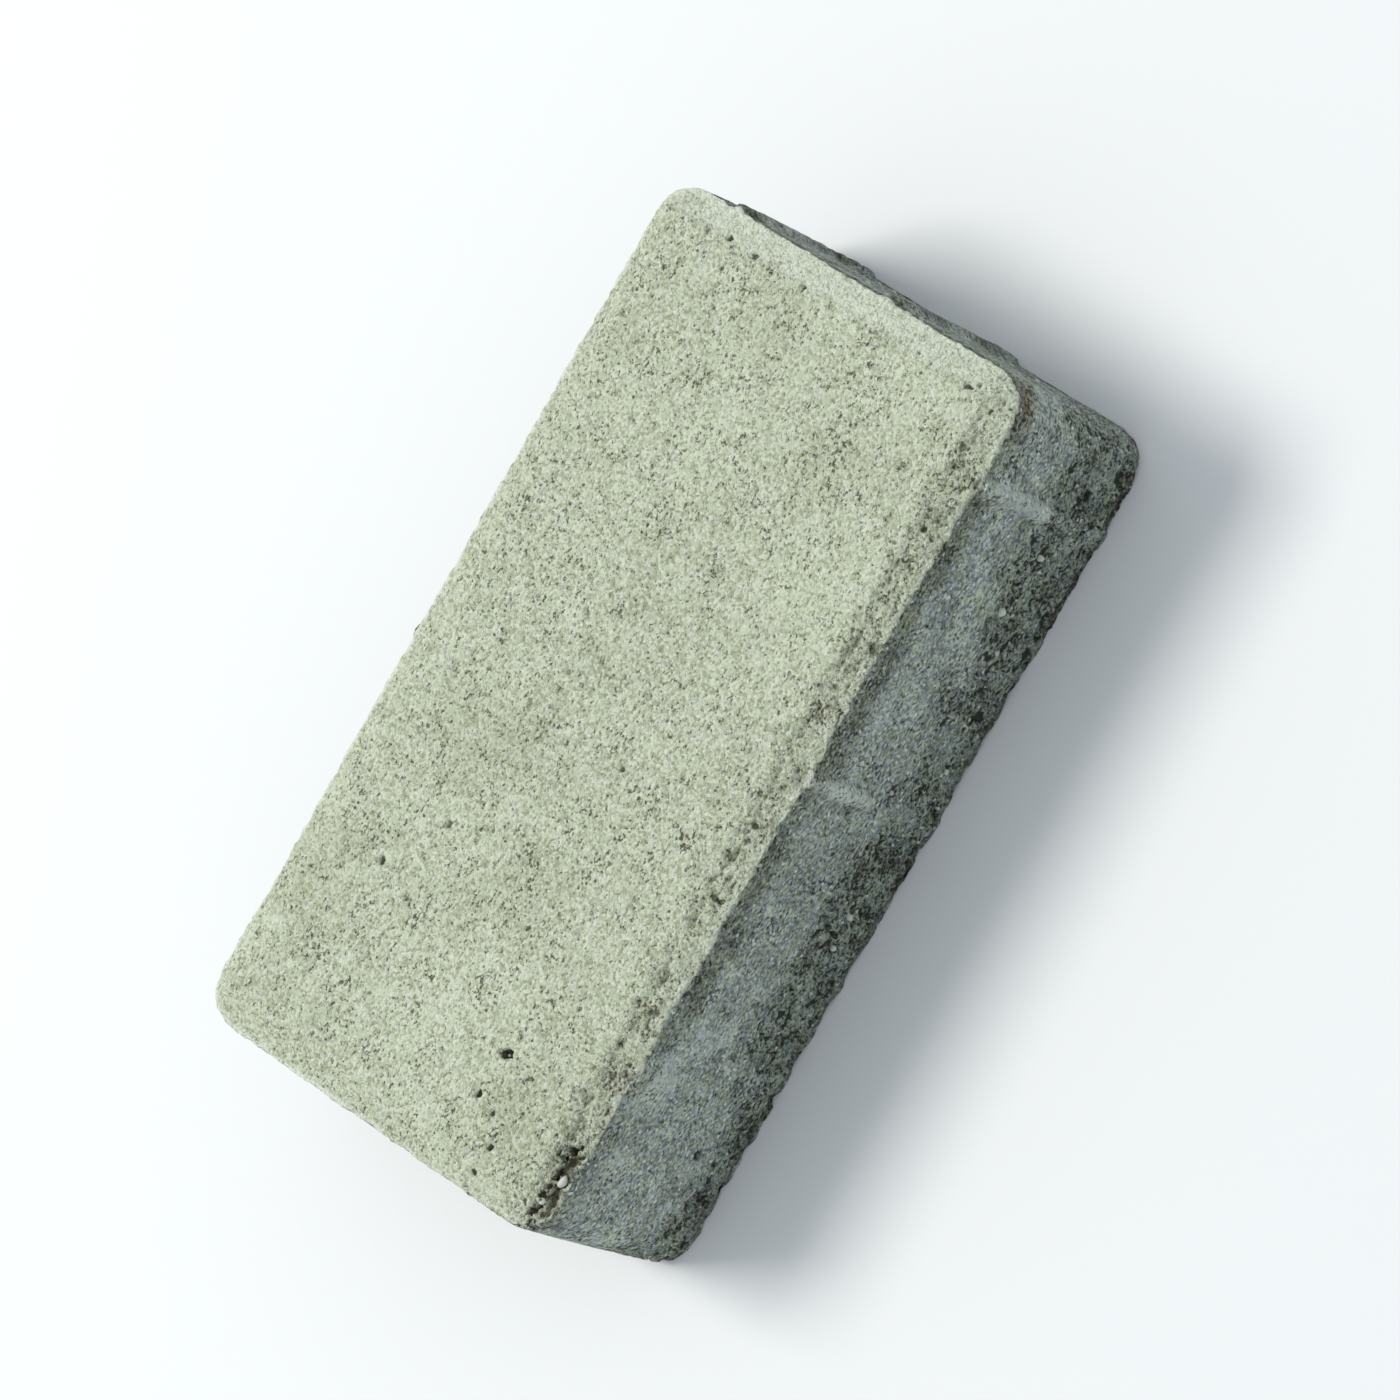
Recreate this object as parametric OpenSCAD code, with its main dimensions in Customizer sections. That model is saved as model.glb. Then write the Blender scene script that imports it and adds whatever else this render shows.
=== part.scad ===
// Rectangular concrete paving stone: a chamfered top face and upright spacer nibs on all four sides.
// X runs across the stone, Y along it, Z up. The origin is the middle of the bed it lies on.

/* [Block] */
// Length of the block, without its nibs
block_l = 197; // [120:1:300]
// Width of the block, without its nibs
block_w = 97; // [75:1:200]
// Height from the bed to the top face
block_h = 60; // [30:1:120]
// Radius of the four upright corners
corner_r = 9; // [7:0.5:16]

/* [Edge of the top face] */
// Width of the chamfer, seen from above
chamfer_w = 6.5; // [3:0.25:8.5]
// How far the chamfer has dropped at its outer edge
chamfer_drop = 3; // [1.5:0.25:8]
// Width of the short steep step where the chamfer starts
step_w = 1; // [0.25:0.25:2.5]
// How far that step drops
step_drop = 1.2; // [0.4:0.1:2.5]

/* [Spacer nibs] */
// How far a nib stands out of its side
nib_out = 1.5; // [0.5:0.25:2]
// Width of a nib where it meets its side
nib_w = 5; // [4:0.5:12]
// Height of the sloped end at the top of a nib
nib_slope_h = 1; // [0.5:0.5:8]
// Number of nibs on each long side
long_nibs = 3; // [2:1:5]
// Number of nibs on each short side
short_nibs = 2; // [2:1:3]
// Distance from the corner where a side starts to its first nib, going round anticlockwise
lead_gap = 40; // [15:0.5:45]
// Distance from the last nib of a long side to the corner where the side ends
long_end_gap = 22; // [15:0.5:45]
// Distance from the last nib of a short side to the corner where the side ends
short_end_gap = 17; // [15:0.5:45]

/* [Hidden] */
$fn = 64;

// Height of the sides, up to the chamfer's outer edge
side_h = block_h - chamfer_drop;
// Radius of the round front of a nib, from its width and how far it stands out
nib_r = (nib_w * nib_w / 4 + nib_out * nib_out) / (2 * nib_out);
// How far the top end of a nib's slope is set into the side
nib_root = 0.4;

// Upright section of the block's edge region: reach is how far the side is from the section's Z axis
module edge_section(reach) {
    polygon([
        [0, 0],
        [reach, 0],
        [reach, side_h],
        [reach - chamfer_w + step_w, block_h - step_drop],
        [reach - chamfer_w, block_h],
        [0, block_h]
    ]);
}

// Same section on both sides of the Z axis, drawn out along Y and centred on it
module bar(width, length) {
    rotate([90, 0, 0])
        linear_extrude(height = length, center = true) {
            edge_section(width / 2);
            mirror([1, 0]) edge_section(width / 2);
        }
}

// Block with a rounded corner where the two bars leave a notch
module block() {
    bar(block_w, block_l - 2 * corner_r);
    rotate([0, 0, 90]) bar(block_l, block_w - 2 * corner_r);
    for (x = [-1, 1], y = [-1, 1])
        translate([x * (block_w / 2 - corner_r), y * (block_l / 2 - corner_r), 0])
            rotate_extrude() edge_section(corner_r);
}

// One upright nib, whose round front stands out past the side at X = 0
module nib() {
    translate([nib_out - nib_r, 0, 0]) {
        cylinder(h = side_h - nib_slope_h, r = nib_r);
        translate([0, 0, side_h - nib_slope_h])
            cylinder(h = nib_slope_h, r1 = nib_r, r2 = nib_r - nib_out - nib_root);
    }
}

// Evenly spaced nibs on the side that faces +X
module nib_row(side_l, side_x, count, end_gap) {
    pitch = (side_l - lead_gap - end_gap) / (count - 1);
    for (i = [0 : count - 1])
        translate([side_x, lead_gap - side_l / 2 + i * pitch, 0]) nib();
}

// Whole stone, with opposite sides alike, so that it can be turned half way round
module paving_stone() {
    color([0.66, 0.69, 0.62])
        union() {
            block();
            for (turn = [0, 180]) {
                rotate([0, 0, turn]) nib_row(block_l, block_w / 2, long_nibs, long_end_gap);
                rotate([0, 0, turn + 90]) nib_row(block_w, block_l / 2, short_nibs, short_end_gap);
            }
        }
}

paving_stone();
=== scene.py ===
import math
import random
from types import SimpleNamespace

import bmesh
import bpy
import numpy as np
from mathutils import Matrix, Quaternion, Vector, kdtree, noise


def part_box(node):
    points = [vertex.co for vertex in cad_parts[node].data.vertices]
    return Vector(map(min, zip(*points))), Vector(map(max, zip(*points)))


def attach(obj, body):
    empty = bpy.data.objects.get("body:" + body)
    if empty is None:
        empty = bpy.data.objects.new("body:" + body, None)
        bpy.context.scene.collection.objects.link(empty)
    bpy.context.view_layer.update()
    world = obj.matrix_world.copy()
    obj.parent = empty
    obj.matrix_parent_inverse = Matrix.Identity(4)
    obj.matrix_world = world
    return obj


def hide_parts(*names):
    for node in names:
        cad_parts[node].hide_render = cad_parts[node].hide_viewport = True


mm = 0.001
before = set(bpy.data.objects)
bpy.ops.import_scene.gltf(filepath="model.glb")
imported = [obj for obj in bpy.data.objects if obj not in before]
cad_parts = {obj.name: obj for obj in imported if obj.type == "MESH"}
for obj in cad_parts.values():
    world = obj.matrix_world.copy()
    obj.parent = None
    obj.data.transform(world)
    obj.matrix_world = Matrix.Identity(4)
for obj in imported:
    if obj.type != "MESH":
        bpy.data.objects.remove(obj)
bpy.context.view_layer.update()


# stone: the cast block, roughened from the CAD shape

stone = {
    "node": "paving_stone",
    "cell": 0.5 * mm,  # size of the first even mesh
    "quickCell": 1.0 * mm,
    "mostTriangles": 196000,
    "nibOut": 1.5 * mm,
    "corner": 9 * mm,
    "chamferWide": 6.5 * mm,
    "chamferDrop": 3 * mm,
    "sway": 0.16 * mm,  # slow unevenness of every face
    "lumps": 0.10 * mm,
    "sand": 0.10 * mm,  # grain of the wearing face
    "creaseDeep": 1.1 * mm,
    "lipHigh": 0.65 * mm,  # pressed edge that stands up at the chamfer's rim
    "rawDeep": 1.2 * mm,  # gaps between the grains low on the sides
    "smallPores": 110,  # anywhere on the wearing face
    "creasePores": 260,  # along the crease and chamfer of the right side
    "farPores": 40,  # along the crease of the far side
    "cornerPores": 34,  # in the knocked corner
    "sidePores": 900,
    "seed": 7,
}

relief = {  # how far apart the lumps of each noise are, in mm
    "big": 34,
    "broad": 11,
    "patch": 5.5,
    "lump": 2.6,
    "grit": 1.25,
    "grains": 2.5,
    "sandGrains": 1.1,
}

onLongSides = 0.67  # share of what is strewn over the sides

# large pores of the wearing face: across, along, radius and depth in mm
openPores = [
    (21, -70, 1.2, 2.8),
    (20.5, -79.5, 0.85, 1.6),
    (25.5, -81, 0.7, 1.1),
    (28.5, -87.5, 0.7, 1.2),
    (27.5, -93.5, 0.7, 1.0),
    (-8, -34, 0.8, 0.8),
    (-26.5, -52, 0.9, 1.0),
    (12, -9, 0.7, 0.8),
    (-21.5, 92, 0.75, 0.9),
    (-28.5, 92.5, 0.8, 1.0),
    (-7.5, 91, 0.75, 0.9),
    (-34, 91, 0.7, 0.8),
    (8.5, 60.5, 0.7, 0.9),
    (23, -12, 0.65, 0.8),
    (-34.5, -53.5, 0.75, 0.9),
    (-27.5, -1, 0.6, 0.8),
    (-44.5, 5.5, 0.7, 0.9),
    (-27, 51.5, 0.6, 0.8),
    (-17.5, -38.5, 0.8, 0.8),
    (36.5, 92, 0.9, 0.9),
]

# patches of the wearing face with more open pores: across, along and radius in mm
porousPatches = [
    (-19, -18, 14),
    (-38, -62, 15),
    (4, -42, 12),
    (18, 62, 10),
    (-9, 84, 9),
    (30, -80, 12),
]

# pale clouds of lime on the right side: along, up, radius in mm and strength
limeClouds = [
    (-79, 45, 7, 0.5),
    (-60, 47, 9, 0.55),
    (-49, 38, 7, 0.3),
    (-96, 30, 6, 0.4),
    (9, 40, 6, 0.3),
]

# nibs: across and along in mm, where the better part starts and stops from the top (0) to the foot (1),
# and what is left of that part and of the rest
nibWear = [
    (48.5, -58.5, 0.0, 0.20, 0.45, 0.20),
    (48.5, 9.0, 0.0, 0.42, 1.0, 0.25),
    (48.5, 76.5, 0.0, 0.68, 1.0, 0.45),
    (8.5, 98.5, 0.0, 0.95, 1.0, 0.9),
    (-31.5, 98.5, 0.0, 0.90, 0.95, 0.8),
    (-48.5, 58.5, 0.1, 0.60, 0.9, 0.5),
    (-48.5, -9.0, 0.0, 0.85, 1.0, 0.7),
    (-48.5, -76.5, 0.2, 0.95, 0.9, 0.4),
    (-8.5, -98.5, 0.45, 0.90, 0.95, 0.1),
    (31.5, -98.5, 0.40, 0.95, 0.9, 0.1),
]


def smooth(low, high, value):
    # 0 at low and before it, 1 at high and past it, and an easy curve between
    part = np.clip((value - low) / (high - low), 0, 1)
    return part * part * (3 - 2 * part)


def noiseOver(points, size, shift):
    # soft noise from about -1 to 1 whose lumps are this far apart
    move = Vector((shift, shift * 0.7, shift * 1.3))
    return np.array([noise.noise(p / size + move) for p in points]) * 1.6


def grainsOver(points, size, shift):
    # 0 in the middle of each grain and 1 in the gap between grains
    move = Vector((shift, shift * 1.7, shift * 0.3))
    return np.array([min(noise.voronoi(p / size + move)[0][0] * 1.35, 1) for p in points])


def addObject(name, data):
    made = bpy.data.objects.new(name, data)
    bpy.context.scene.collection.objects.link(made)
    return made


def applyModifiers(piece):
    # the mesh as its modifiers leave it, kept for good
    graph = bpy.context.evaluated_depsgraph_get()
    done = bpy.data.meshes.new_from_object(piece.evaluated_get(graph))
    old = piece.data
    piece.modifiers.clear()
    piece.data = done
    bpy.data.meshes.remove(old)


def evenCopy(node, cell):
    # one closed mesh of even cells over the CAD shape
    mesh = node.data.copy()
    made = bmesh.new()
    made.from_mesh(mesh)
    bmesh.ops.remove_doubles(made, verts=made.verts, dist=1e-6)
    made.to_mesh(mesh)
    made.free()
    mesh.materials.clear()
    piece = addObject("castStone", mesh)
    remesh = piece.modifiers.new("even", "REMESH")
    remesh.mode = "VOXEL"
    remesh.voxel_size = cell
    remesh.use_smooth_shade = True
    applyModifiers(piece)
    return piece


def readPoints(mesh):
    co = np.zeros(len(mesh.vertices) * 3)
    mesh.vertices.foreach_get("co", co)
    return co.reshape(-1, 3)


def readNormals(mesh):
    normals = np.zeros(len(mesh.vertices) * 3)
    mesh.vertices.foreach_get("normal", normals)
    return normals.reshape(-1, 3)


def planOf(x, y, halfWide, halfLong):
    # seen from above: how far a point is inside the block's outline, and the way outwards there
    corner = stone["corner"]
    cornerX = np.abs(x) - (halfWide - corner)
    cornerY = np.abs(y) - (halfLong - corner)
    reachX = np.maximum(cornerX, 0)
    reachY = np.maximum(cornerY, 0)
    reach = np.hypot(reachX, reachY)
    inset = corner - reach - np.minimum(np.maximum(cornerX, cornerY), 0)
    away = np.maximum(reach, 1e-9)
    return inset, np.sign(x) * reachX / away, np.sign(y) * reachY / away


def nearSides(x, y, halfWide, halfLong):
    # how much a point belongs to each side: right, far, left and near
    gaps = np.array([halfWide - x, halfLong - y, halfWide + x, halfLong + y])
    shares = np.exp(-np.maximum(gaps, 0) / (4 * mm))
    return shares / shares.sum(0)


def survey(co, low, high):
    # where every vertex is on the block, and the noises that shape it there
    at = SimpleNamespace()
    at.x, at.y, at.z = co.T.copy()
    halfWide = (high.x - low.x) / 2 - stone["nibOut"]
    halfLong = (high.y - low.y) / 2 - stone["nibOut"]
    at.top = high.z
    at.sideHigh = high.z - stone["chamferDrop"]
    at.fromNear = at.y + halfLong
    at.inset, at.outX, at.outY = planOf(at.x, at.y, halfWide, halfLong)
    at.right, at.far, at.left, at.near = nearSides(at.x, at.y, halfWide, halfLong)

    print("stone: noise over", len(co), "points")
    points = [Vector(p) for p in co]
    at.big = noiseOver(points, relief["big"] * mm, 3.1)
    at.broad = noiseOver(points, relief["broad"] * mm, 8.2)
    at.patch = noiseOver(points, relief["patch"] * mm, 1.4)
    at.lump = noiseOver(points, relief["lump"] * mm, 5.7)
    at.grit = noiseOver(points, relief["grit"] * mm, 9.3)
    at.grains = grainsOver(points, relief["grains"] * mm, 2.2)
    at.sandGrains = grainsOver(points, relief["sandGrains"] * mm, 6.4)
    return at


def findZones(at, normals):
    # how much every vertex belongs to the top, the sides and the rough stretches of both, from 0 to 1
    broad, patch, lump, fromNear = at.broad, at.patch, at.lump, at.fromNear
    wide = stone["chamferWide"]
    at.upper = smooth(at.sideHigh - 0.9 * mm, at.sideHigh - 0.1 * mm, at.z)
    bed = smooth(0.8 * mm, 0.2 * mm, at.z) * smooth(-0.2, -0.7, normals[:, 2])
    at.side = (1 - at.upper) * (1 - bed)
    at.band = at.upper * smooth(wide + 1.2 * mm, wide - 0.8 * mm, at.inset + 0.6 * mm * patch)

    # open texture: low on the sides, on the bed, and in a thin band under the rim
    onRight = 10 + 12 * smooth(42 * mm, 62 * mm, fromNear) + 9 * smooth(140 * mm, 156 * mm, fromNear)
    rawHigh = mm * (at.right * onRight + (1 - at.right) * 20) * (1 + 0.35 * broad + 0.25 * at.big)
    raw = at.side * smooth(rawHigh + 9 * mm, rawHigh - 6 * mm, at.z + 4 * mm * patch + 1.5 * mm * lump)
    raw = np.maximum(raw, bed * 0.7 * smooth(-0.5, 0.3, broad + patch))
    at.raw = raw * (1 - 0.65 * at.far)
    under = smooth(at.sideHigh - 10 * mm, at.sideHigh - 4.5 * mm, at.z + 2 * mm * patch + 2 * mm * broad)
    at.underRim = at.side * under * np.maximum(smooth(35 * mm, 60 * mm, fromNear), 0.35)
    openness = 0.30 * smooth(-0.3, 0.9, at.grit + 0.5 * lump) + 0.15 * at.sandGrains ** 2
    openness = openness + 0.37 * smooth(-0.3, 0.8, lump + 0.5 * at.grit)
    at.openness = openness + 0.18 * smooth(-0.4, 0.8, patch)

    # the knocked corner, and the stretches of the right rim that are rough
    chip = smooth(21 * mm, 17 * mm, fromNear + 2 * mm * patch) * at.right * at.upper
    at.chip = chip * smooth(5.0 * mm, 3.6 * mm, at.inset + 0.8 * mm * lump)
    worst = smooth(105 * mm, 125 * mm, fromNear) * smooth(185 * mm, 170 * mm, fromNear)
    worst = np.maximum(worst, smooth(60 * mm, 30 * mm, fromNear))
    at.rough = at.band * at.right * np.clip(0.45 + 0.4 * patch + 0.4 * worst, 0, 1)


def findRim(at):
    # the crease at the inner edge of the chamfer, broken up along its way, and the pressed lip outside it
    offLine = at.inset - stone["chamferWide"] + 0.5 * mm + 0.5 * mm * at.patch + 0.2 * mm * at.lump
    crease = at.upper * np.exp(-((offLine / ((0.6 + 0.4 * at.right) * mm)) ** 2))
    crease = crease * (0.3 + 0.7 * smooth(-0.5, 0.5, at.lump + 0.5 * at.patch + 0.3 * at.grit))
    at.crease = crease * (at.right + 0.35 * at.far + 0.2 * at.left + 0.2 * at.near)
    at.lip = at.upper * smooth(1.9 * mm, 0.9 * mm, at.inset) * smooth(-0.9, 0.2, at.patch + 0.6 * at.lump)


def pushOf(at):
    # how far every vertex goes in against its normal
    lump, grit, coarse = at.lump, at.grit, at.grains ** 2
    push = stone["sway"] * (1 + at.big) + stone["lumps"] * (0.5 + 0.5 * at.broad)
    push = push + at.upper * stone["sand"] * (at.sandGrains + 0.5 * grit)
    push = push + at.side * (0.07 * mm * (1 + grit) + 0.22 * mm * at.underRim * (1 + 0.6 * lump + 0.4 * grit))
    push = push + at.raw * stone["rawDeep"] * at.openness
    push = push + at.rough * mm * (0.34 * (1 + lump) + 0.62 * coarse + 0.16 * grit)
    push = push + at.band * 0.07 * mm * (1 + grit)
    push = push + at.chip * mm * (0.8 + 1.1 * coarse + 0.5 * lump)
    return push + stone["creaseDeep"] * at.crease * (0.45 + 0.7 * coarse)


def liftOf(at):
    # how far the chamfer's step rises to a rounded shoulder, least of all on the far side
    part = np.clip(at.inset / (stone["chamferWide"] + 0.8 * mm), 0, 1)
    softDrop = stone["chamferDrop"] * (1 - part) ** 1.6
    softness = 1.2 * at.right + 0.7 * at.far + 0.9 * at.left + 0.9 * at.near + 0.25 * at.patch
    lift = at.upper * np.clip(softness, 0, 1) * smooth(0.1 * mm, 0.8 * mm, at.inset)
    return lift * (at.top - softDrop - at.z)


def wearSides(at):
    # how far the sides are worn inwards: at the rim, most of all near the knocked corner, and at the foot
    rim = smooth(1.4 * mm, 0, np.abs(at.z - at.sideHigh)) * smooth(1.5 * mm, 0, at.inset)
    bite = smooth(0.1, 0.8, at.patch) * smooth(70 * mm, 20 * mm, at.fromNear)
    inward = rim * mm * (0.22 * (1 + at.lump) + 0.12 * at.grit + 0.5 * bite)
    foot = smooth(2.6 * mm, 0, at.z) * smooth(2.5 * mm, 0, at.inset) * (1 - 0.85 * at.far)
    ragged = 0.35 + 0.45 * smooth(-0.4, 0.8, at.patch) + 0.2 * at.lump + 0.4 * at.grains
    inward = inward + foot * mm * ragged

    # nibs, worn or broken away in places
    at.down = (at.sideHigh - at.z) / at.sideHigh + 0.04 * at.lump
    at.keep = np.ones(len(at.z))
    for across, along, start, stop, most, rest in nibWear:
        here = np.hypot(at.x - across * mm, at.y - along * mm) < 5 * mm
        whole = smooth(start - 0.03, start + 0.05, at.down + 0.03)
        whole = whole * smooth(stop + 0.08, stop - 0.05, at.down)
        at.keep = np.where(here, rest + (most - rest) * whole, at.keep)
    at.proud = np.maximum(-at.inset, 0)
    return inward + at.proud * (1 - at.keep)


def findMarks(at):
    # scuffs and lime on the sides, painted shade over the far side with brown on its nib crests and darker
    # towards the foot, and the porous patches of the wearing face
    standing = smooth(0.1, 0.8, at.proud * at.keep / stone["nibOut"])
    scuff = at.side * standing * np.clip(0.75 + 0.4 * at.patch, 0, 1)
    for along, up, size, strength in limeClouds:
        gap = np.hypot(at.y - along * mm, at.z - up * mm) / (size * mm) + 0.35 * at.patch
        scuff = np.maximum(scuff, at.right * at.side * smooth(1.1, 0.2, gap) * strength)
    at.scuff = scuff * (1 - at.far)
    # painted shade over the whole far side; brown on the far nibs' crests, and darker towards the foot
    crest = at.far * smooth(0.2 * mm, mm, at.proud) * smooth(-0.1, 0.9, at.down + 0.25 * at.patch)
    patchy = np.clip(0.75 + 0.5 * at.patch + 0.3 * at.lump, 0, 1)
    foot = smooth(5 * mm, 1 * mm, at.z + mm * at.patch)
    at.dirt = at.side * patchy * np.maximum(0.2 * at.far + 0.8 * crest, foot)
    at.porous = np.zeros(len(at.z))
    for across, along, size in porousPatches:
        gap = np.hypot(at.x - across * mm, at.y - along * mm) / (size * mm) + 0.3 * at.broad
        at.porous = np.maximum(at.porous, at.upper * smooth(1.3, 0.2, gap))


def hollowOf(at):
    # painted shade: the dark bottoms of the gaps between grains, of the crease, of the knocked corner and of
    # the rough rim
    hollow = smooth(0.1, 0.7, at.raw) * smooth(0.50, 0.82, at.openness)
    hollow = np.maximum(hollow, at.crease * smooth(0.25, 0.8, at.sandGrains + 0.3 * at.grit) * 0.6)
    hollow = np.maximum(hollow, at.chip * smooth(0.3, 0.75, at.grains + 0.2 * at.grit) * 0.9)
    return np.maximum(hollow, at.rough * smooth(0.5, 1.0, at.grains + 0.3 * at.lump) * 0.65)


def roughen(piece, low, high):
    # moves every vertex of the even mesh to the worn shape, and keeps what the material needs
    co = readPoints(piece.data)
    normals = readNormals(piece.data)
    at = survey(co, low, high)
    findZones(at, normals)
    findRim(at)

    # inside the rim the top is pushed straight down, so that the step's steep wall leaves no thin line
    level = (at.upper * smooth(0.3 * mm, 1.4 * mm, at.inset))[:, None]
    normals = normals * (1 - level) + np.array((0, 0, 1)) * level
    normals = normals / np.linalg.norm(normals, axis=1)[:, None]
    co = co - normals * pushOf(at)[:, None]
    co[:, 2] += liftOf(at)
    co[:, 2] += stone["lipHigh"] * at.lip * (1 - at.chip) * (0.7 + 0.5 * at.grit)
    inward = wearSides(at)
    co[:, 0] -= at.outX * inward
    co[:, 1] -= at.outY * inward
    findMarks(at)
    # painted shade for the hollows, kept as a field for the material
    hollow = hollowOf(at)
    sinkPores(co, normals, hollow, at, low, high)
    fields = {
        "facing": at.upper,
        "hollow": hollow,
        "raw": np.maximum(at.raw, at.chip),
        "underRim": at.underRim,
        "scuff": at.scuff,
        "rough": at.rough,
        # painted highlight: the pressed lip paler, and the far chamfer paler at half strength to make up for
        # its shaded slope
        "lip": np.maximum(at.lip * (1 - at.chip), 0.5 * at.far * at.band),
        "dirt": at.dirt,
        "porous": at.porous,
    }
    keepFields(piece.data, co, fields)


def strewPores(dice, low, high):
    # where the pores are: place, radius, depth and whether they are in the wearing face
    halfWide = high.x - stone["nibOut"]
    halfLong = high.y - stone["nibOut"]
    pores = [(Vector((a * mm, b * mm, high.z)), r * mm, deep * mm, True) for a, b, r, deep in openPores]
    for _ in range(stone["smallPores"]):
        spot = Vector((dice.uniform(low.x, high.x), dice.uniform(low.y, high.y), high.z))
        pores.append((spot, dice.uniform(0.45, 0.8) * mm, dice.uniform(0.3, 0.7) * mm, True))
    for _ in range(stone["creasePores"]):
        fromRim = dice.triangular(0.8, 9.5, 6) * mm
        spot = Vector((halfWide - fromRim, dice.uniform(-halfLong, halfLong), high.z))
        size = dice.triangular(0.4, 0.95, 0.5)
        pores.append((spot, size * mm, size * dice.uniform(0.6, 1.1) * mm, True))
    for _ in range(stone["farPores"]):
        spot = Vector((dice.uniform(-halfWide, halfWide), halfLong - dice.uniform(5, 8) * mm, high.z))
        pores.append((spot, dice.uniform(0.35, 0.6) * mm, dice.uniform(0.4, 0.8) * mm, True))
    for _ in range(stone["cornerPores"]):
        fromRim = dice.uniform(0.5, 4.6) * mm
        spot = Vector((halfWide - fromRim, dice.uniform(1.5, 21) * mm - halfLong, high.z))
        pores.append((spot, dice.uniform(0.5, 1.0) * mm, dice.uniform(0.8, 1.6) * mm, True))
    for _ in range(stone["sidePores"]):
        if dice.random() < onLongSides:
            spot = Vector((dice.choice((-halfWide, halfWide)), dice.uniform(low.y, high.y), 0))
        else:
            spot = Vector((dice.uniform(low.x, high.x), dice.choice((-halfLong, halfLong)), 0))
        spot.z = high.z * dice.random() ** 1.5
        size = dice.uniform(0.35, 0.6) + (0.7 * dice.random() ** 3 if spot.z < 26 * mm else 0)
        pores.append((spot, size * mm, size * dice.uniform(0.6, 1.0) * mm, False))
    return pores


def sinkPores(co, normals, hollow, at, low, high):
    # presses each pore in, with an uneven mouth, and paints shade into it
    dice = random.Random(stone["seed"])
    tree = kdtree.KDTree(len(co))
    for i, p in enumerate(co):
        tree.insert(p, i)
    tree.balance()
    for spot, radius, deep, inFace in strewPores(dice, low, high):
        where = at.upper if inFace else at.side
        found = tree.find(spot)[0]
        stretch = Vector((dice.uniform(0.75, 1.3), dice.uniform(0.7, 1.1), dice.uniform(0.75, 1.3)))
        for p, i, _ in tree.find_range(found, radius * 1.6):
            if where[i] < 0.5:
                continue
            offset = (p - found) * stretch
            reach = offset.length / radius + 0.6 * noise.noise(p / (0.8 * mm))
            part = max(0.0, 1 - reach * reach)
            co[i] -= normals[i] * deep * min(1.0, part * 2.0)
            edge = 1.25 if radius > mm else 1.08
            # painted shade in the pore, strongest in deep ones
            mouthShade = min(1.0, max(0.0, (edge - reach) / 0.4)) * min(1.0, deep / (1.2 * mm))
            hollow[i] = max(hollow[i], mouthShade)


def keepFields(mesh, co, fields):
    mesh.vertices.foreach_set("co", co.ravel())
    for name, values in fields.items():
        layer = mesh.attributes.new(name, "FLOAT", "POINT")
        layer.data.foreach_set("value", values.astype(np.float32))
    mesh.update()


def thin(piece, most):
    # fewer triangles where the surface is smooth
    triangles = sum(len(p.vertices) - 2 for p in piece.data.polygons)
    fewer = piece.modifiers.new("thin", "DECIMATE")
    fewer.ratio = min(1.0, most / triangles)
    applyModifiers(piece)
    print("stone:", triangles, "triangles thinned to", len(piece.data.polygons))


def keepInside(mesh, low, high):
    co = np.clip(readPoints(mesh), np.array(low), np.array(high))
    mesh.vertices.foreach_set("co", co.ravel())
    mesh.update()


def layOutBakeMap(mesh, low, high):
    # six flat views of the stone laid side by side, so that a baked picture of it keeps one scale
    sheet = 298 * mm
    halfWide = (high.x - low.x) / 2
    halfLong = (high.y - low.y) / 2
    sideHigh = high.z - stone["chamferDrop"]
    views = {  # left, bottom, scale, then the direction that runs right and the one that runs up
        "top": (2, 2, 1.0, (0, 1, 0), (-1, 0, 0)),
        "right": (2, 106, 1.0, (0, 1, 0), (0, 0, 1)),
        "left": (2, 170, 1.0, (0, -1, 0), (0, 0, 1)),
        "far": (2, 234, 1.0, (-1, 0, 0), (0, 0, 1)),
        "near": (104, 234, 1.0, (1, 0, 0), (0, 0, 1)),
        "bed": (208, 4, 0.82, (-1, 0, 0), (0, 1, 0)),
    }
    count = len(mesh.polygons)
    middle = np.zeros(count * 3)
    mesh.polygons.foreach_get("center", middle)
    mx, my, mz = middle.reshape(-1, 3).T
    facing = np.zeros(count * 3)
    mesh.polygons.foreach_get("normal", facing)
    nx, ny, nz = facing.reshape(-1, 3).T
    toX = halfWide - stone["nibOut"] - np.abs(mx)
    toY = halfLong - stone["nibOut"] - np.abs(my)
    nearest = np.minimum(toX, toY)
    isTop = (mz > sideHigh - 0.6 * mm) & ((nz > 0.3) | (nearest > 1.2 * mm))
    isBed = ~isTop & (((mz < 1.6 * mm) & (nz < -0.55)) | ((nearest > 4 * mm) & (mz < 30 * mm)))
    onX = toX - np.abs(nx) * mm < toY - np.abs(ny) * mm
    which = np.where(onX, np.where(mx > 0, 1, 2), np.where(my > 0, 3, 4))
    which = np.where(isTop, 0, np.where(isBed, 5, which))
    loops = np.zeros(len(mesh.loops), np.int32)
    mesh.loops.foreach_get("vertex_index", loops)
    sizes = np.zeros(count, np.int32)
    mesh.polygons.foreach_get("loop_total", sizes)
    owner = np.repeat(which, sizes)
    corners = readPoints(mesh)[loops]
    centre = np.array(((low.x + high.x) / 2, (low.y + high.y) / 2, 0))
    uv = np.zeros((len(loops), 2))
    for number, (left, bottom, scale, right, up) in enumerate(views.values()):
        mine = owner == number
        place = corners[mine] - centre
        for axis, direction in enumerate((right, up)):
            run = place @ np.array(direction)
            reach = abs(np.array(direction) @ np.array((halfWide, halfLong, 0)))
            uv[mine, axis] = ((left, bottom)[axis] * mm + (run + reach) * scale) / sheet
    layer = mesh.uv_layers.new(name="OFBake")
    layer.data.foreach_set("uv", uv.ravel())


# shader helpers

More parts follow.
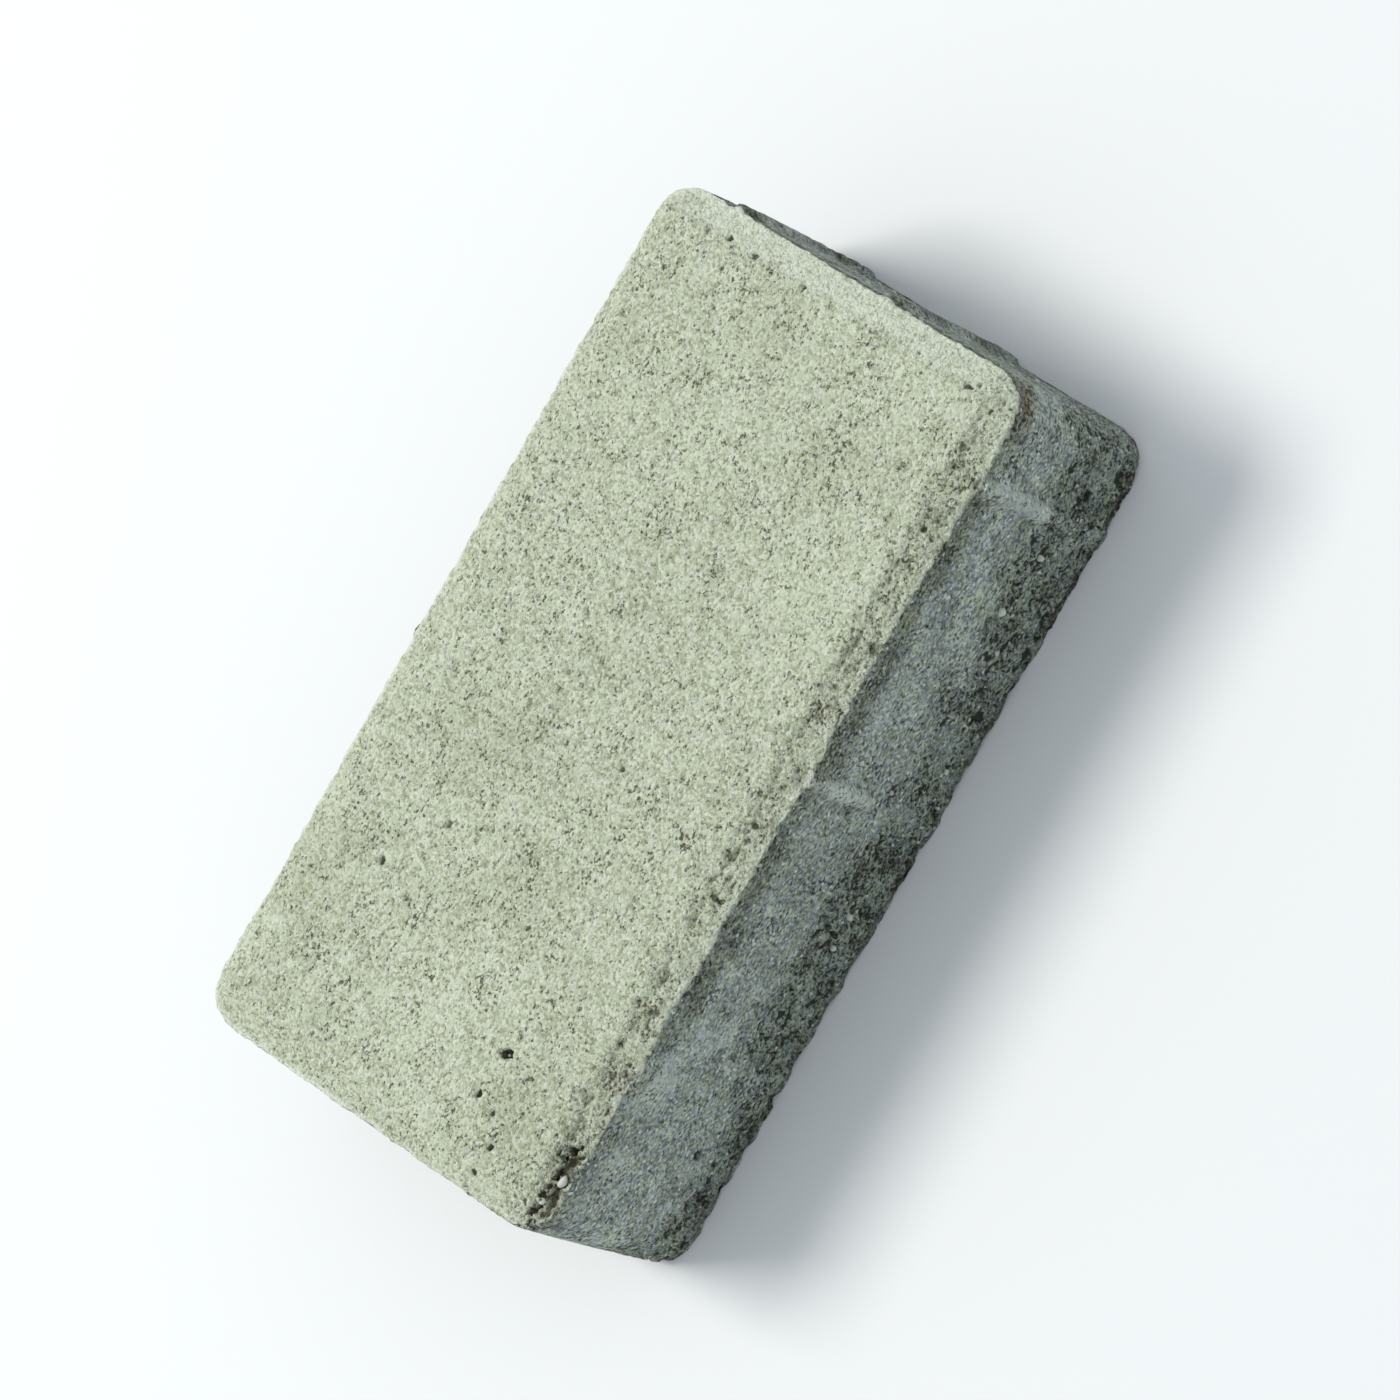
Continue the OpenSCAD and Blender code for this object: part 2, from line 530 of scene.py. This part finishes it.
class Value:
    # a number that changes over the surface: arithmetic on it adds Math nodes
    def __init__(self, finish, socket):
        self.finish = finish
        self.socket = socket

    def maths(self, operation, *values):
        values = dict(enumerate(values))
        made = self.finish.node("ShaderNodeMath", {"operation": operation}, values)
        return Value(self.finish, made.outputs[0])

    def __add__(self, other):
        return self.maths("ADD", self, other)

    def __mul__(self, other):
        return self.maths("MULTIPLY", self, other)

    def __sub__(self, other):
        return self.maths("SUBTRACT", self, other)

    def __rsub__(self, other):
        return self.maths("SUBTRACT", other, self)

    __radd__ = __add__
    __rmul__ = __mul__

    def step(self, low, high):
        # 0 at low, 1 at high, with an easy curve between
        made = self.finish.node(
            "ShaderNodeMapRange",
            {"interpolation_type": "SMOOTHSTEP"},
            {"Value": self, "From Min": low, "From Max": high},
        )
        return Value(self.finish, made.outputs["Result"])


class Finish:
    # one material and the nodes in it
    def __init__(self, name):
        self.material = bpy.data.materials.new(name)
        self.material.use_nodes = True
        self.tree = self.material.node_tree
        self.tree.nodes.clear()

    def node(self, kind, settings=None, values=None):
        made = self.tree.nodes.new(kind)
        made.location = (220 * (len(self.tree.nodes) % 12), -260 * (len(self.tree.nodes) // 12))
        for name, setting in (settings or {}).items():
            setattr(made, name, setting)
        for key, value in (values or {}).items():
            self.plug(self.socketOf(made, key), value)
        return made

    def socketOf(self, made, key):
        if isinstance(key, int):
            return made.inputs[key]
        return next(s for s in made.inputs if key in (s.identifier, s.name) and s.enabled)

    def plug(self, socket, value):
        if isinstance(value, Value):
            value = value.socket
        if isinstance(value, bpy.types.NodeSocket):
            self.tree.links.new(value, socket)
        elif socket.type == "RGBA" and len(value) == 3:
            socket.default_value = (*value, 1)
        else:
            socket.default_value = value

    def scaled(self, place, factors):
        made = self.node("ShaderNodeMapping", {}, {"Vector": place, "Scale": factors})
        return made.outputs["Vector"]

    def placeInMm(self):
        inMetres = self.node("ShaderNodeTexCoord").outputs["Object"]
        return self.scaled(inMetres, (1 / mm, 1 / mm, 1 / mm))

    def noise(self, place, size, detail=2.0, rough=0.5, shift=0.0):
        made = self.node(
            "ShaderNodeTexNoise",
            {"noise_dimensions": "4D" if shift else "3D"},
            {"Vector": place, "Scale": 1 / size, "Detail": detail, "Roughness": rough},
        )
        if shift:
            made.inputs["W"].default_value = shift
        return Value(self, made.outputs["Fac"])

    def cells(self, place, size):
        return self.node("ShaderNodeTexVoronoi", {}, {"Vector": place, "Scale": 1 / size})

    def attribute(self, name):
        made = self.node("ShaderNodeAttribute", {"attribute_name": name})
        return Value(self, made.outputs["Fac"])

    def blend(self, factor, first, second, how="MIX"):
        made = self.node(
            "ShaderNodeMix",
            {"data_type": "RGBA", "blend_type": how},
            {"Factor_Float": factor, "A_Color": first, "B_Color": second},
        )
        return next(s for s in made.outputs if s.identifier == "Result_Color")

    def bumped(self, height, strength):
        made = self.node("ShaderNodeBump", {}, {"Height": height, "Strength": strength, "Distance": mm})
        return made.outputs["Normal"]

    def shade(self, values):
        shader = self.node("ShaderNodeBsdfPrincipled", {}, values)
        self.node("ShaderNodeOutputMaterial", {}, {"Surface": shader.outputs["BSDF"]})
        return self.material


# finish: dry-cast concrete

concrete = {
    "face": (0.615, 0.675, 0.510),  # wearing face
    "faceDark": (0.530, 0.580, 0.430),  # darker patches in it
    "facePale": (0.720, 0.765, 0.650),
    # painted highlight on the pressed lip and over the far chamfer
    "lipPale": (0.800, 0.840, 0.730),
    "sand": (0.740, 0.765, 0.640),
    "mauve": (0.430, 0.385, 0.410),  # odd coloured grains
    "grainTint": (0.66, 0.65, 0.58),  # of the darker grains of sand
    "fineHollowShade": (0.62, 0.60, 0.50),  # painted shade in the finest hollows
    "openTint": (0.84, 0.84, 0.80),  # of the porous patches
    # painted shade in the pores of the wearing face
    "pore": (0.074, 0.058, 0.030),
    "side": (0.620, 0.705, 0.620),  # smooth cement skin of the sides, bluer than the face: partly its own grey, partly painted skylit shade
    "sideDark": (0.160, 0.182, 0.155),
    "sidePale": (0.780, 0.840, 0.770),
    "violet": (0.330, 0.310, 0.390),
    "blueTint": (0.84, 0.88, 1.08),
    "yellowTint": (1.00, 1.02, 0.74),
    "oliveTint": (0.520, 0.520, 0.420),  # of the rough band under the rim
    "rawTint": (0.800, 0.820, 0.760),  # of the open texture low on the sides
    "brown": (0.095, 0.080, 0.056),
    # painted shade in the deepest hollows and in the pores of the sides
    "voidShade": (0.022, 0.025, 0.016),
    "scuff": (0.700, 0.770, 0.700),
    "rust": (0.260, 0.135, 0.060),
    "rustAt": (45.5, 94.0, 53.0),  # mm
    "broadSize": 38,  # mm from here on
    "patchSize": 9,
    "clusterSize": 5.5,
    "mottleSize": 3.0,
    "hueSize": 2.4,
    "fleckSize": 1.5,
    "fineSize": 1.0,
    "speckSize": 0.78,
    "sandSize": 0.62,
    "gritSize": 0.42,
    "speckDrawn": (1.15, 0.8, 1.0),  # how much closer together the specks are along each axis: drawn out along the stone, the way the grains' small shadows fall
}


def surveyFinish(cast):
    # what the worn mesh says of every place, and the noises that colour it
    at = SimpleNamespace()
    at.facing = cast.attribute("facing")
    at.hollow = cast.attribute("hollow")
    at.raw = cast.attribute("raw")
    at.underRim = cast.attribute("underRim")
    at.scuff = cast.attribute("scuff")
    at.rough = cast.attribute("rough")
    at.lip = cast.attribute("lip")
    at.dirt = cast.attribute("dirt")
    at.openPatch = cast.attribute("porous")

    at.place = cast.placeInMm()
    drawn = cast.scaled(at.place, concrete["speckDrawn"])
    at.broad = cast.noise(at.place, concrete["broadSize"], 2)
    at.patch = cast.noise(at.place, concrete["patchSize"], 3, shift=2.0)
    at.mottle = cast.noise(at.place, concrete["mottleSize"], 2, shift=5.0)
    at.fine = cast.noise(at.place, concrete["fineSize"], 3, 0.7, shift=7.0)
    at.speck = cast.noise(drawn, concrete["speckSize"], 3, 0.65)
    at.cluster = cast.noise(at.place, concrete["clusterSize"], 3, 0.6, shift=9.0)
    at.hue = cast.noise(at.place, concrete["hueSize"], 3, 0.6, shift=4.0)
    at.grit = cast.noise(at.place, concrete["gritSize"], 1, 0.5)
    at.flecks = cast.noise(at.place, concrete["fleckSize"], 3, 0.65, shift=11.0)
    sand = cast.cells(at.place, concrete["sandSize"])
    sandTone = cast.node("ShaderNodeSeparateColor", {}, {"Color": sand.outputs["Color"]})
    at.tone = Value(cast, sandTone.outputs[0])
    at.pick = Value(cast, sandTone.outputs[1])
    at.gap = Value(cast, sand.outputs["Distance"])
    return at


def faceColour(cast, at):
    # wearing face: sand in a pale cement, with open pores between the grains, painted shade in the pores and
    # finest hollows, and a painted highlight on the rim's lip and the far chamfer
    broadly = (at.broad * 0.7 + at.patch * 0.5).step(0.42, 0.78)
    face = cast.blend(broadly, concrete["faceDark"], concrete["face"])
    face = cast.blend(at.mottle.step(0.50, 0.72) * 0.45, face, concrete["facePale"])
    face = cast.blend(at.tone.step(0.55, 0.95) * 0.65, face, concrete["sand"])
    face = cast.blend(at.tone.step(0.42, 0.05) * 0.8, face, concrete["grainTint"], "MULTIPLY")
    # painted shade in the finest hollows of the bump
    face = cast.blend(at.fine.step(0.50, 0.32) * 0.85, face, concrete["fineHollowShade"], "MULTIPLY")
    face = cast.blend(at.openPatch * 0.6, face, concrete["openTint"], "MULTIPLY")
    face = cast.blend(at.pick.step(0.93, 0.97) * 0.45, face, concrete["mauve"])
    # painted shade in the small pores
    face = cast.blend(at.porous * 0.9, face, concrete["pore"])
    # painted highlight on the lip and the far chamfer, less where the rim is rough
    return cast.blend(at.lip * (0.8 - at.rough * 0.5) * at.fine.step(0.30, 0.52), face, concrete["lipPale"])


def sideColour(cast, at):
    # sides: a smooth cement skin, open low down and scuffed on the nibs, with painted shade in its pores and
    # over the far side, and darker towards the foot
    fine, tone, pick, hue, cluster = at.fine, at.tone, at.pick, at.hue, at.cluster
    skin = (at.speck * 0.8 + fine * 0.45 + at.mottle * 0.25 + at.patch * 0.30 + tone * 0.20).step(1.14, 0.79)
    flecks = (at.flecks + (cluster - 0.5) * 0.3).step(0.55, 0.64)
    pores = (at.speck + (cluster - 0.5) * 0.45 + at.raw * 0.07 + at.underRim * 0.05).step(0.575, 0.68)
    side = cast.blend(skin, concrete["sideDark"], concrete["side"])
    side = cast.blend(tone.step(0.66, 0.98) * 0.32, side, concrete["sidePale"])
    side = cast.blend(pick.step(0.70, 0.95) * 0.28, side, concrete["violet"])
    side = cast.blend(hue.step(0.50, 0.66) * 0.7, side, concrete["blueTint"], "MULTIPLY")
    side = cast.blend(hue.step(0.50, 0.34) * 0.7, side, concrete["yellowTint"], "MULTIPLY")
    side = cast.blend(flecks * 0.85, side, concrete["sideDark"])
    olive = at.underRim * (0.45 + fine.step(0.4, 0.6) * 0.5)
    side = cast.blend(olive, side, concrete["oliveTint"], "MULTIPLY")
    side = cast.blend(at.raw * 0.9, side, concrete["rawTint"], "MULTIPLY")
    side = cast.blend(at.raw * cluster.step(0.50, 0.66) * 0.5, side, concrete["brown"])
    side = cast.blend(at.scuff * fine.step(0.34, 0.56) * 0.85, side, concrete["scuff"])
    # painted shade in the pores of the sides
    side = cast.blend(pores * 0.88, side, concrete["voidShade"])
    side = cast.blend(pick.step(0.04, 0.01) * 0.8, side, concrete["sidePale"])
    # painted shade over the far side; brown on the far nib crests and darker towards the foot
    side = cast.blend(at.dirt * (0.55 + cluster.step(0.42, 0.58) * 0.4), side, concrete["brown"])
    reach = cast.node("ShaderNodeVectorMath", {"operation": "DISTANCE"}, {0: at.place, 1: concrete["rustAt"]})
    rust = (Value(cast, reach.outputs["Value"]) + (fine - 0.5) * 26).step(5, 1) * 0.32
    return cast.blend(rust, side, concrete["rust"])


def makeConcrete():
    cast = Finish("castConcrete")
    at = surveyFinish(cast)
    isFace = (at.facing + (at.speck - 0.5) * 0.4).step(0.35, 0.6)
    openness = at.speck + (at.cluster - 0.5) * 0.35 + at.rough * 0.05 + at.openPatch * 0.02 - at.lip * 0.06
    at.porous = openness.step(0.585, 0.69)
    colour = cast.blend(isFace, sideColour(cast, at), faceColour(cast, at))
    # painted shade: hollows and pits darkened towards near black
    depthShade = cast.blend(isFace, concrete["voidShade"], concrete["pore"])
    depthShade = cast.blend(at.facing * 0.5, depthShade, concrete["voidShade"])
    colour = cast.blend((at.hollow + (at.speck - 0.5) * 0.5).step(0.26, 0.78) * 0.92, colour, depthShade)

    height = (1 - at.gap) * 0.22 + at.grit * 0.30 - at.speck * 0.62 + at.fine * 0.40 - at.porous * 0.15
    height = height * (1.3 - at.facing * 0.3 + at.raw * 0.6 + at.underRim * 0.5 + at.rough * 0.5)
    return cast.shade({
        "Base Color": colour,
        "Roughness": 0.98 - at.tone * 0.12,
        "Normal": cast.bumped(height, 1.0),
        "Specular IOR Level": 0.35,
    })


def makeStone(finish):
    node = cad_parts[stone["node"]]
    low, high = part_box(stone["node"])
    piece = evenCopy(node, stone["cell"])
    print("stone: even mesh of", len(piece.data.polygons), "faces")
    roughen(piece, low, high)
    thin(piece, stone["mostTriangles"])
    keepInside(piece.data, low, high)
    layOutBakeMap(piece.data, low, high)
    for face in piece.data.polygons:
        face.use_smooth = True
    piece.data.materials.append(finish)
    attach(piece, "root")
    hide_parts(stone["node"])


makeStone(makeConcrete())
print("stone done")


# grains: pale bits of gravel that show in the sides and in the broken places

grainBits = {
    "strewn": 70,
    "strewnSize": (0.4, 0.8),  # radius in mm
    "pale": (0.60, 0.61, 0.54),
    "dull": (0.50, 0.52, 0.46),
    # along, up and radius in mm, on the right side
    "right": [
        (-51, 42.5, 1.1),
        (-1.5, 47.5, 0.7),
        (16, 41.5, 0.8),
        (27, 37.5, 0.9),
        (-78, 36, 0.8),
        (-78.5, 40, 0.7),
        (55, 22.5, 1.0),
        (68, 19, 0.9),
        (66, 36.5, 0.7),
        (-14.5, 13, 0.9),
    ],
    # across, along, up and radius in mm: two in the knocked corner and one in the largest pore
    "top": [(45.5, -85, 56.8, 1.15), (44, -90.5, 57.4, 0.8), (21, -70, 57.6, 0.45)],
    "seed": 21,
}


def addGrain(made, spot, radius, dice):
    # one small uneven lump
    ball = bmesh.ops.create_icosphere(made, subdivisions=2, radius=radius)["verts"]
    stretch = Vector((dice.uniform(0.75, 1.2), dice.uniform(0.75, 1.2), dice.uniform(0.75, 1.2)))
    for vertex in ball:
        dent = 1 + 0.35 * noise.noise(vertex.co / radius * 1.1 + spot / mm)
        vertex.co = vertex.co * stretch * dent + spot


def strewGrains(made, low, high):
    # the grains with a place of their own, then those anywhere on the four sides, sunk in to a cap
    halfWide = high.x - stone["nibOut"]
    halfLong = high.y - stone["nibOut"]
    dice = random.Random(grainBits["seed"])
    for along, up, size in grainBits["right"]:
        addGrain(made, Vector((halfWide - (size * 0.62 + 0.2) * mm, along * mm, up * mm)), size * mm, dice)
    for across, along, up, size in grainBits["top"]:
        addGrain(made, Vector((across * mm, along * mm, up * mm)), size * mm, dice)
    for _ in range(grainBits["strewn"]):
        size = dice.uniform(*grainBits["strewnSize"]) * mm
        up = dice.uniform(4 * mm, high.z - 6 * mm)
        deep = size * 0.7 + 0.2 * mm
        if dice.random() < onLongSides:
            spot = Vector((dice.choice((-1, 1)) * (halfWide - deep), dice.uniform(-85, 85) * mm, up))
        else:
            spot = Vector((dice.uniform(-36, 36) * mm, dice.choice((-1, 1)) * (halfLong - deep), up))
        addGrain(made, spot, size, dice)


def makeQuartz():
    quartz = Finish("paleQuartz")
    place = quartz.placeInMm()
    cloud = quartz.noise(place, 2.2, 2)
    dust = quartz.noise(place, 0.5, 2, 0.6)
    colour = quartz.blend(cloud.step(0.35, 0.65), grainBits["dull"], grainBits["pale"])
    colour = quartz.blend(dust.step(0.52, 0.66) * 0.6, colour, concrete["side"])
    return quartz.shade({
        "Base Color": colour,
        "Roughness": 0.75 - dust * 0.2,
        "Normal": quartz.bumped(dust * 0.12, 0.8),
    })


def makeGrains(finish):
    made = bmesh.new()
    strewGrains(made, *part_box(stone["node"]))
    mesh = bpy.data.meshes.new("paleGrains")
    made.to_mesh(mesh)
    made.free()
    mesh.shade_smooth()
    mesh.materials.append(finish)
    piece = addObject("paleGrains", mesh)
    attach(piece, "root")


makeGrains(makeQuartz())
print("grains done")


# studio

studio = {
    "floor": (0.86, 0.87, 0.88),
    "floorSize": 4,  # m, half its width
    "sky": (0.88, 0.945, 1.0),
    "skyStrength": 0.62,
    "keyPlace": (-1.05, -0.40, 2.05),
    "keySize": 0.8,
    "keyPower": 35,
    "keyColour": (1.0, 0.985, 0.93),
}

view = {
    "lens": 209.7,  # mm, on a sensor of 36
    "sensor": 36,
    "aimAcross": 0.0021,  # m from the middle of the stone
    "aimAlong": 0.0078,
    "away": (0.8245, 0.1512, 1.4273),  # m from the aim to the camera
    "roll": -69.06,  # degrees
}


def makeStudio():
    mesh = bpy.data.meshes.new("floor")
    made = bmesh.new()
    bmesh.ops.create_grid(made, x_segments=1, y_segments=1, size=studio["floorSize"])
    made.to_mesh(mesh)
    made.free()
    mesh.materials.append(Finish("palePaint").shade({"Base Color": studio["floor"], "Roughness": 0.9}))
    addObject("floor", mesh)

    world = bpy.data.worlds.new("softSky")
    bpy.context.scene.world = world
    world.use_nodes = True
    back = world.node_tree.nodes["Background"]
    back.inputs["Color"].default_value = (*studio["sky"], 1)
    back.inputs["Strength"].default_value = studio["skyStrength"]

    lamp = bpy.data.lights.new("key", "AREA")
    lamp.energy = studio["keyPower"]
    lamp.size = studio["keySize"]
    lamp.color = studio["keyColour"]
    key = addObject("key", lamp)
    key.location = studio["keyPlace"]
    key.rotation_mode = "QUATERNION"
    key.rotation_quaternion = (-Vector(studio["keyPlace"])).to_track_quat("-Z", "Y")


def makeCamera():
    low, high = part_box(stone["node"])
    lens = bpy.data.cameras.new("camera")
    lens.lens = view["lens"]
    lens.sensor_width = view["sensor"]
    lens.clip_start = 0.01
    camera = addObject("camera", lens)
    aim = Vector((view["aimAcross"], view["aimAlong"], (low.z + high.z) / 2))
    camera.location = aim + Vector(view["away"])
    forward = (aim - camera.location).normalized()
    roll = Quaternion((0, 0, 1), math.radians(view["roll"]))
    camera.rotation_mode = "QUATERNION"
    camera.rotation_quaternion = forward.to_track_quat("-Z", "Y") @ roll
    bpy.context.scene.camera = camera


makeStudio()
makeCamera()
bpy.context.scene.view_settings.view_transform = "Standard"
print("studio done")
